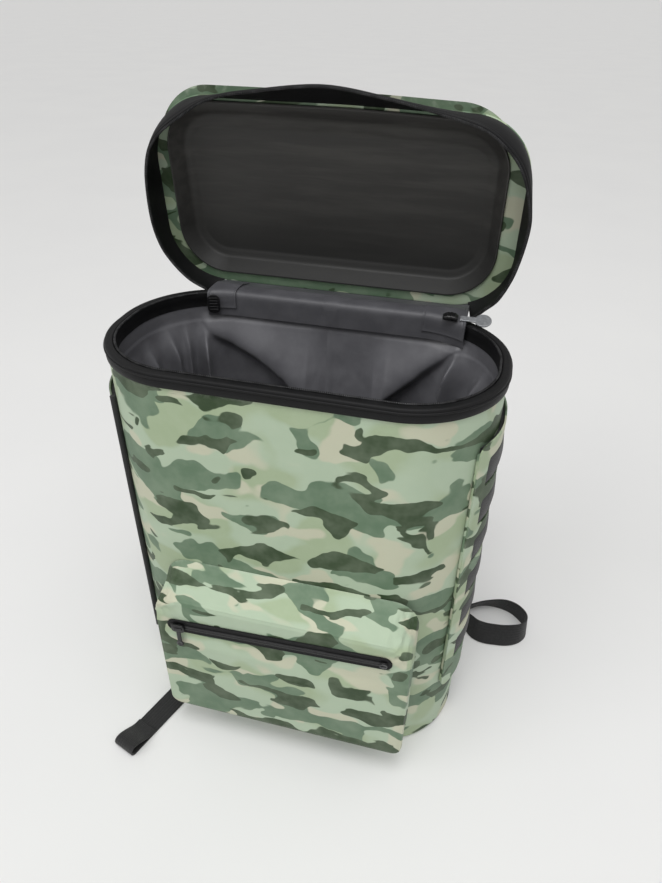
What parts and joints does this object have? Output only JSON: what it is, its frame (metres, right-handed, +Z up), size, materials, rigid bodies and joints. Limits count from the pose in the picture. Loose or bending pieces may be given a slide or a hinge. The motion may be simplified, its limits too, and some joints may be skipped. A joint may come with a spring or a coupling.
{
  "type": "cooler backpack",
  "caption": "Soft insulated backpack with half-round ends, standing open: lid folded back behind the mouth, front zip pocket, slotted side panels, padded back straps and loose webbing ends",
  "frame": {"origin": "middle of the flat base, on the ground", "axes": "X to the right seen from the pocket side, Y from the pocket side to the straps, Z up"},
  "size_m": [0.4325, 0.3151, 0.6034],
  "materials": {
    "camouflage": "coated, low sheen, green camouflage print",
    "liner": "satin coated film",
    "binding": "satin black tape",
    "zip_teeth": "matte black",
    "hinge_fabric": "coated dark grey",
    "tray": "moulded charcoal foam skin",
    "hardware": "black moulded",
    "pull_metal": "grey satin",
    "webbing": "woven black",
    "padding": "woven black over foam"
  },
  "bodies": {
    "bag": {"body_shell": "camouflage", "liner": "liner", "rim_band": "binding", "rim_zip_tape": "binding", "rim_zip_teeth": "zip_teeth", "hinge_panel": "hinge_fabric", "hinge_patch_left": "hinge_fabric", "hinge_patch_right": "hinge_fabric", "zip_end_left": "zip_teeth", "lid_shell": "camouflage", "lid_tray": "tray", "lid_band": "binding", "lid_zip_teeth": "zip_teeth", "lid_slider": "hardware", "front_pocket": "camouflage", "pocket_zip": "binding", "pocket_zip_teeth": "zip_teeth", "pocket_slider": "hardware", "pocket_zip_stop": "hardware", "side_backing_right": "webbing", "side_backing_left": "webbing", "side_panel_right": "camouflage", "side_panel_left": "camouflage", "back_pad": "padding", "shoulder_strap_right": "padding", "shoulder_strap_left": "padding", "strap_yoke": "webbing", "handle_patch": "webbing", "grab_handle": "webbing", "strap_lock_right": "hardware", "strap_lock_left": "hardware", "lower_web_right": "webbing", "lower_web_left": "webbing", "strap_anchor_right": "webbing", "strap_anchor_left": "webbing", "strap_tail_left": "webbing", "strap_loop_right": "webbing"},
    "lid_pull_body": {"lid_pull": "pull_metal"},
    "pocket_pull_body": {"pocket_pull": "hardware"}
  },
  "joints": [
    {"name": "lid_pull_hinge", "type": "hinge", "parent": "bag", "child": "lid_pull_body", "pos_m": [0.1248, 0.0701, 0.4244], "axis": [0, -1, 0], "range_deg": [0, 90]},
    {"name": "pocket_pull_hinge", "type": "hinge", "parent": "bag", "child": "pocket_pull_body", "pos_m": [-0.0869, -0.1289, 0.1685], "axis": [-1, 0, 0], "range_deg": [0, 90]}
  ]
}
